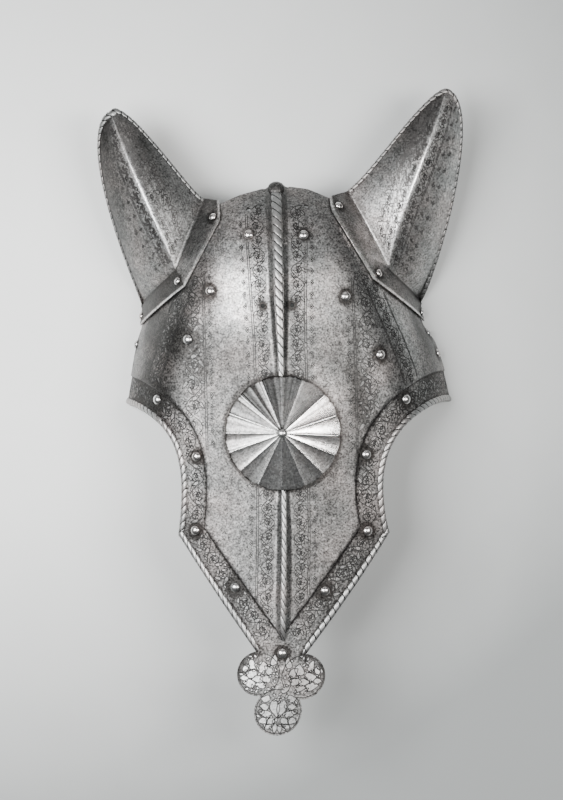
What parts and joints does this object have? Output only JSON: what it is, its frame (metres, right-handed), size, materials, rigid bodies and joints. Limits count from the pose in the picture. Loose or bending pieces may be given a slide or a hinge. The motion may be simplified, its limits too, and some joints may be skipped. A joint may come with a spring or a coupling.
{
  "type": "horse head armour",
  "caption": "Steel armour plate for the upper front of a horse's head, with roped eye cut-outs, a trefoil nose, a roped ridge, ear guards and a fluted rondel.",
  "frame": {"origin": "middle of the part's extent, on the surface it lies on", "axes": "-Y to the nose, +Y to the ears, +Z out of the front of the armour, away from the horse's face, +X to the right as seen from the front"},
  "size_m": [0.3009, 0.525, 0.1323],
  "materials": {
    "plate_steel": "grey, dull bright steel with dark pitting and shallow etched foliage",
    "rondel_steel": "bright steel, polished flutes with light pitting",
    "rivet_steel": "smooth domed heads, worn bright"
  },
  "bodies": {
    "root": {"skull_plate": "plate_steel", "ear_guard_left": "plate_steel", "ear_guard_right": "plate_steel", "rondel": "rondel_steel", "poll_rivet_left": "rivet_steel", "poll_rivet_right": "rivet_steel", "forehead_rivet_left": "rivet_steel", "forehead_rivet_right": "rivet_steel", "brow_rivet_left": "rivet_steel", "brow_rivet_right": "rivet_steel", "eye_rivet_upper_left": "rivet_steel", "eye_rivet_upper_right": "rivet_steel", "eye_rivet_middle_left": "rivet_steel", "eye_rivet_middle_right": "rivet_steel", "eye_rivet_lower_left": "rivet_steel", "eye_rivet_lower_right": "rivet_steel", "taper_rivet_left": "rivet_steel", "taper_rivet_right": "rivet_steel", "nose_rivet": "rivet_steel", "strap_rivet_left": "rivet_steel", "strap_rivet_right_upper": "rivet_steel", "strap_rivet_right_lower": "rivet_steel", "ear_rivet_left_inner": "rivet_steel", "ear_rivet_left_middle": "rivet_steel", "ear_rivet_left_outer": "rivet_steel", "ear_rivet_right_inner": "rivet_steel", "ear_rivet_right_middle": "rivet_steel", "ear_rivet_right_outer": "rivet_steel", "rondel_rivet": "rivet_steel"}
  },
  "joints": []
}
